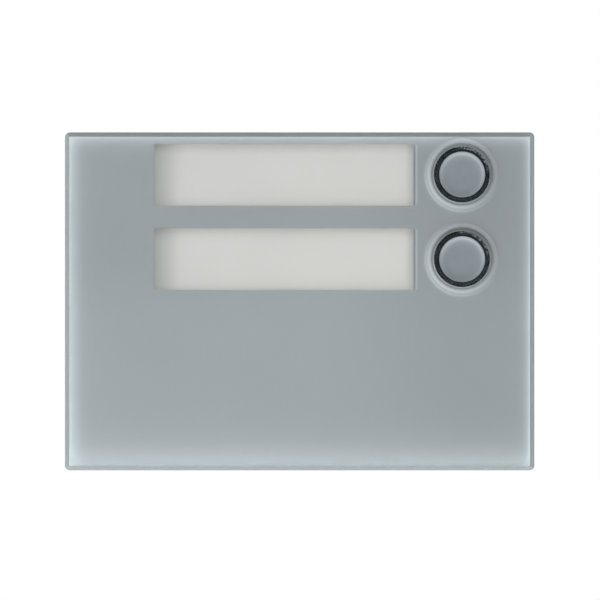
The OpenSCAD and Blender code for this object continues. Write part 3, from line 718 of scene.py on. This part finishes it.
# Plunger profile: the plug in the cap, the skirt, the stop flange, and the stem with a socket in its end
def plungerProfile(s):
    return [
        (0, s["plugFrom"]), (s["plugR"] - s["soft"], s["plugFrom"]), (s["plugR"], s["plugFrom"] + s["soft"]),
        (s["plugR"], s["skirtFrom"]), (s["skirtR"] - s["edge"], s["skirtFrom"]),
        (s["skirtR"], s["skirtFrom"] + s["edge"]), (s["skirtR"], s["flangeFrom"]),
        (s["flangeR"] - s["edge"], s["flangeFrom"]), (s["flangeR"], s["flangeFrom"] + s["edge"]),
        (s["flangeR"], s["flangeTo"] - s["edge"]), (s["flangeR"] - s["edge"], s["flangeTo"]),
        (s["stemR"], s["flangeTo"]), (s["stemR"], s["end"] - s["soft"]), (s["stemR"] - s["soft"], s["end"]),
        (s["socketR"], s["end"]), (s["socketR"], s["socketTo"]), (0, s["socketTo"])]


springShape = dict(radius=4.6, wireR=0.25, turns=3.5, dead=0.75, endGap=1.04, sides=12, perTurn=40, keep=0.65)


# Round wire on a helix: the climb per turn grows from almost closed at both ends to even in the middle, and
# the whole is scaled to the space between near and far
def springMesh(middle, near, far, s):
    steps = int(s["turns"] * s["perTurn"]) + 1
    t = np.linspace(0, 1, steps)
    turn = t * s["turns"]
    closing = s["wireR"] * 2 * s["endGap"]
    pitchAt = np.clip(np.minimum(turn, s["turns"] - turn) / s["dead"], 0, 1)
    rate = closing + (pitchAt ** 2 * (3 - 2 * pitchAt))
    height = np.concatenate([[0], np.cumsum((rate[1:] + rate[:-1]) / 2)])
    height = near + s["wireR"] + height / height[-1] * (far - near - 2 * s["wireR"])
    angle = 2 * pi * turn
    centre = np.stack([s["radius"] * np.cos(angle), height, s["radius"] * np.sin(angle)], 1)
    tangent = np.gradient(centre, axis=0)
    tangent /= np.linalg.norm(tangent, axis=1, keepdims=True)
    outward = np.stack([np.cos(angle), 0 * angle, np.sin(angle)], 1)
    across = np.cross(tangent, outward)
    around = np.linspace(0, 2 * pi, s["sides"], endpoint=False)
    around = around[None, :, None]
    ring = np.cos(around) * outward[:, None] + np.sin(around) * across[:, None]
    vertices = (centre[:, None] + s["wireR"] * ring).reshape(-1, 3)
    vertices += (middle[0], frontY, middle[1])
    faces = ringQuads(steps, s["sides"])
    faces.append(list(range(s["sides"])))
    faces.append(list(range((steps - 1) * s["sides"], steps * s["sides"])))
    return vertices, faces


for row, middle in zip(rowNames, buttonMiddles):
    body = f"{row}_button"
    title = row.capitalize()
    cap = makePiece(f"ButtonCap{title}", *turnedMesh(middle, capProfile(capShape)), capAluminium, 40)
    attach(cap, body)
    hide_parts(f"button_cap_{row}")

    profile, share = collarProfile(collarShape)
    mesh = turnedMesh(middle, profile, 720, True, collarShape["teeth"], collarShape["toothDepth"], share)
    collar = makePiece(f"ButtonCollar{title}", *mesh, collarMaterial(row, middle, collarLook), 40)
    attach(collar, "panel")
    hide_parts(f"button_collar_{row}")

    section = circleLoop((sealShape["middleR"], sealShape["depth"]), sealShape["wireR"], sealShape["sides"])
    mesh = turnedMesh(middle, section, 96, True)
    seal = makePiece(f"ButtonSeal{title}", *mesh, solids["Black EPDM rubber"])
    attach(seal, body)
    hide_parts(f"button_oring_{row}")

    mesh = turnedMesh(middle, plungerProfile(plungerShape), 96)
    plunger = makePiece(f"ButtonPlunger{title}", *mesh, solids["Natural acetal"])
    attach(plunger, body)
    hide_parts(f"button_plunger_{row}")

    near, far = depthsOf(f"button_spring_{row}")
    mesh = springMesh(middle, near, far, springShape)
    spring = makePiece(f"ButtonSpring{title}", *mesh, solids["Spring steel wire"], 60)
    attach(spring, "panel")
    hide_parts(f"button_spring_{row}")
    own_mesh(spring)
print("stage: buttons made")

cardShape = dict(bowMm=0.12, marginMm=0.02, columns=41, lines=13)


# Name card: two grids of points joined round their rim, both bowed towards the glass by a parabola
def cardMesh(middle, width, height, near, far, s):
    gridU, gridV = np.meshgrid(np.linspace(-1, 1, s["columns"]), np.linspace(-1, 1, s["lines"]))
    x = middle[0] + gridU * (width / 2 - s["marginMm"])
    z = middle[1] + gridV * (height / 2 - s["marginMm"])
    bow = s["bowMm"] * (1 - gridU ** 2)
    sheets = [np.stack([x, frontY + depth - bow, z], -1).reshape(-1, 3) for depth in (near, far)]
    count = s["columns"] * s["lines"]
    index = np.arange(count).reshape(s["lines"], s["columns"])
    quads = np.stack([index[:-1, :-1], index[:-1, 1:], index[1:, 1:], index[1:, :-1]], -1).reshape(-1, 4)
    rim = np.concatenate([index[0, :-1], index[:-1, -1], index[-1, :0:-1], index[:0:-1, 0]])
    nextRim = np.roll(rim, -1)
    sides = np.stack([rim, nextRim, nextRim + count, rim + count], 1)
    return np.concatenate(sheets), np.concatenate([quads, quads[:, ::-1] + count, sides]).tolist()


for row, middle in zip(rowNames, cardMiddles):
    node = f"name_card_{row}"
    low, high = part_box(node)
    mesh = cardMesh(middle, (high.x - low.x) / mm, (high.z - low.z) / mm, *depthsOf(node), cardShape)
    card = makePiece(f"NameCard{row.capitalize()}", *mesh, cardPaper)
    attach(card, f"{row}_card")
    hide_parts(f"name_card_{row}")
print("stage: cards made")

bushingShape = dict(boreR=8.0, lipR=12.0, seatR=10.0, lipFrom=27.3, lipTo=28.5, end=30.0, soft=0.35)


# Cable bushing: a turned ring with a lip and soft edges, each edge a quarter circle
def bushingProfile(s):
    a = np.linspace(0, pi / 2, 6)
    soft = s["soft"]
    mouth = np.stack([s["boreR"] + soft * (1 - np.sin(a)), s["lipFrom"] + soft * (1 - np.cos(a))], 1)
    lip = np.stack([s["lipR"] - soft * (1 - np.sin(a)), s["lipFrom"] + soft * (1 - np.cos(a))], 1)
    foot = np.stack([s["lipR"] - soft * (1 - np.cos(a)), s["lipTo"] - soft * (1 - np.sin(a))], 1)
    seat = [(s["seatR"], s["lipTo"]), (s["seatR"], s["end"] - soft)]
    tail = np.stack([s["seatR"] - soft * (1 - np.cos(a)), s["end"] - soft * (1 - np.sin(a))], 1)
    bore = np.stack([s["boreR"] + soft * (1 - np.sin(a)), s["end"] - soft * (1 - np.cos(a))], 1)
    return np.concatenate([mouth[::-1], lip, foot, seat, tail[1:], bore])


mesh = turnedMesh(middleOf("cable_bushing"), bushingProfile(bushingShape), 96, True)
bushing = makePiece("CableBushing", *mesh, solids["Black EPDM rubber"], 40)
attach(bushing, "panel")
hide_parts("cable_bushing")
print("stage: bushing made")

# Finish of each node that keeps its own mesh
nodeMaterials = {
    "bonding_tape": solids["Black acrylic foam tape"],
    "front_carrier": solids["Dark grey ABS, fine spark texture"],
    "rear_housing": solids["Dark grey ABS, fine spark texture"],
    "body_gasket": solids["Black EPDM rubber"],
    "circuit_board": boardFr4,
    "backlight_leds": solids["Phosphor under clear silicone"],
    "processor_chip": solids["Black moulding compound"],
    "chip_resistors": solids["Black moulding compound"],
    "capacitors": solids["Drawn aluminium can"],
    "terminal_block": solids["Green polyamide"],
    "terminal_screws": solids["Zinc-plated steel"],
    "terminal_clamps": solids["Bright brass"],
    "link_socket": solids["Natural acetal"],
    "link_pins": solids["Bright brass"],
    "board_screws": solids["Zinc-plated steel"],
    "housing_screws": solids["Zinc-plated steel"],
    "locking_screws": solids["Zinc-plated steel"],
    "wall_plate": plateSteel,
}
for row in rowNames:
    nodeMaterials[f"card_holder_{row}"] = clears["Clear polycarbonate"]
    nodeMaterials[f"light_diffuser_{row}"] = solids["Opal acrylic sheet"]
    nodeMaterials[f"switch_case_{row}"] = solids["Black moulding compound"]
    nodeMaterials[f"switch_stem_{row}"] = solids["Red nylon"]
for name, material in nodeMaterials.items():
    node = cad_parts[name]
    for materialSlot in node.material_slots:
        materialSlot.link = "OBJECT"
        materialSlot.material = material
print("stage: node finishes set,", len(nodeMaterials))

# Dome: its level half-way to the sides, what is added straight ahead, at the sides and behind the object, and
# between which depths of the direction each of these comes in. Tilt: how much brighter the dome is towards
# tiltWay. Floor in metres
studio = dict(base=1.95, ahead=-1.05, aside=-0.75, behind=-0.6, aheadSpan=(-1.0, -0.6), asideSpan=(-0.6, -0.15),
              behindSpan=(0.0, 0.8), tilt=0.8, tiltWay=(-0.32, 0, -0.95), domeColour="#fbfcff",
              floorZ=-0.5, floorSize=4)


# Studio light: white where the camera sees past the object, elsewhere a pale dome that is brightest
# half-way to the sides of the front and brighter towards one low corner
def makeWorld(look):
    world = bpy.data.worlds.new("Pale studio")
    bpy.context.scene.world = world
    world.use_nodes = True
    tree = world.node_tree
    tree.nodes.clear()
    seen = addNode(tree, "ShaderNodeTexCoord").outputs["Generated"]
    depthWays = addNode(tree, "ShaderNodeSeparateXYZ", {0: seen}).outputs["Y"]
    ahead = remap(tree, depthWays, *look["aheadSpan"], 1.0, 0.0, True)
    aside = remap(tree, depthWays, *look["asideSpan"], 0.0, 1.0, True)
    behind = remap(tree, depthWays, *look["behindSpan"], 0.0, 1.0, True)
    level = look["base"]
    for share, name in ((ahead, "ahead"), (aside, "aside"), (behind, "behind")):
        level = addTimes(tree, level, share, look[name])
    towards = Vector(look["tiltWay"]).normalized()
    dot = addNode(tree, "ShaderNodeVectorMath", {0: seen, 1: towards}, operation="DOT_PRODUCT")
    level = compute(tree, "MULTIPLY", level, addTimes(tree, 1.0, dot.outputs["Value"], look["tilt"]))
    sky = {"Color": linear(look["domeColour"]), "Strength": level}
    dome = addNode(tree, "ShaderNodeBackground", sky).outputs[0]
    paper = addNode(tree, "ShaderNodeBackground", {"Color": linear("#ffffff"), "Strength": 1.0}).outputs[0]
    rays = addNode(tree, "ShaderNodeLightPath").outputs["Is Camera Ray"]
    mixed = addNode(tree, "ShaderNodeMixShader", {0: rays, 1: dome, 2: paper}).outputs[0]
    addNode(tree, "ShaderNodeOutputWorld", {"Surface": mixed})


makeWorld(studio)

# Matt painted floor, faintly lit so that it stays as pale as the background
floorLook = dict(colours=("#e9e9e8", "#f1f1f0"), roughness=(0.6, 0.75), patchMm=200, grainMm=3, reliefMm=0.02,
                 glow=0.45)
half = studio["floorSize"] / 2
floorMesh = bpy.data.meshes.new("StudioFloor")
corners = ((-half, -half), (half, -half), (half, half), (-half, half))
floorMesh.from_pydata([(x, y, studio["floorZ"]) for x, y in corners], [], [(0, 1, 2, 3)])
floorMesh.materials.append(solidMaterial("Pale studio floor", floorLook))
floor = bpy.data.objects.new("StudioFloor", floorMesh)
bpy.context.scene.collection.objects.link(floor)
for ray in ("diffuse", "glossy", "transmission", "shadow"):
    setattr(floor, f"visible_{ray}", False)

# Camera straight in front, far enough back for almost no perspective
cameraShape = dict(distance=1.0, seenWidth=0.1596, aim=(0.00009, 0.00036))
cameraData = bpy.data.cameras.new("FrontCamera")
cameraData.sensor_width = 36
cameraData.lens = 36 * cameraShape["distance"] / cameraShape["seenWidth"]
cameraData.clip_end = 20
camera = bpy.data.objects.new("FrontCamera", cameraData)
camera.location = (cameraShape["aim"][0], frontY * mm - cameraShape["distance"], cameraShape["aim"][1])
camera.rotation_euler = (pi / 2, 0, 0)
bpy.context.scene.collection.objects.link(camera)
bpy.context.scene.camera = camera
bpy.context.scene.view_settings.view_transform = "Standard"
print("stage: studio and camera set")
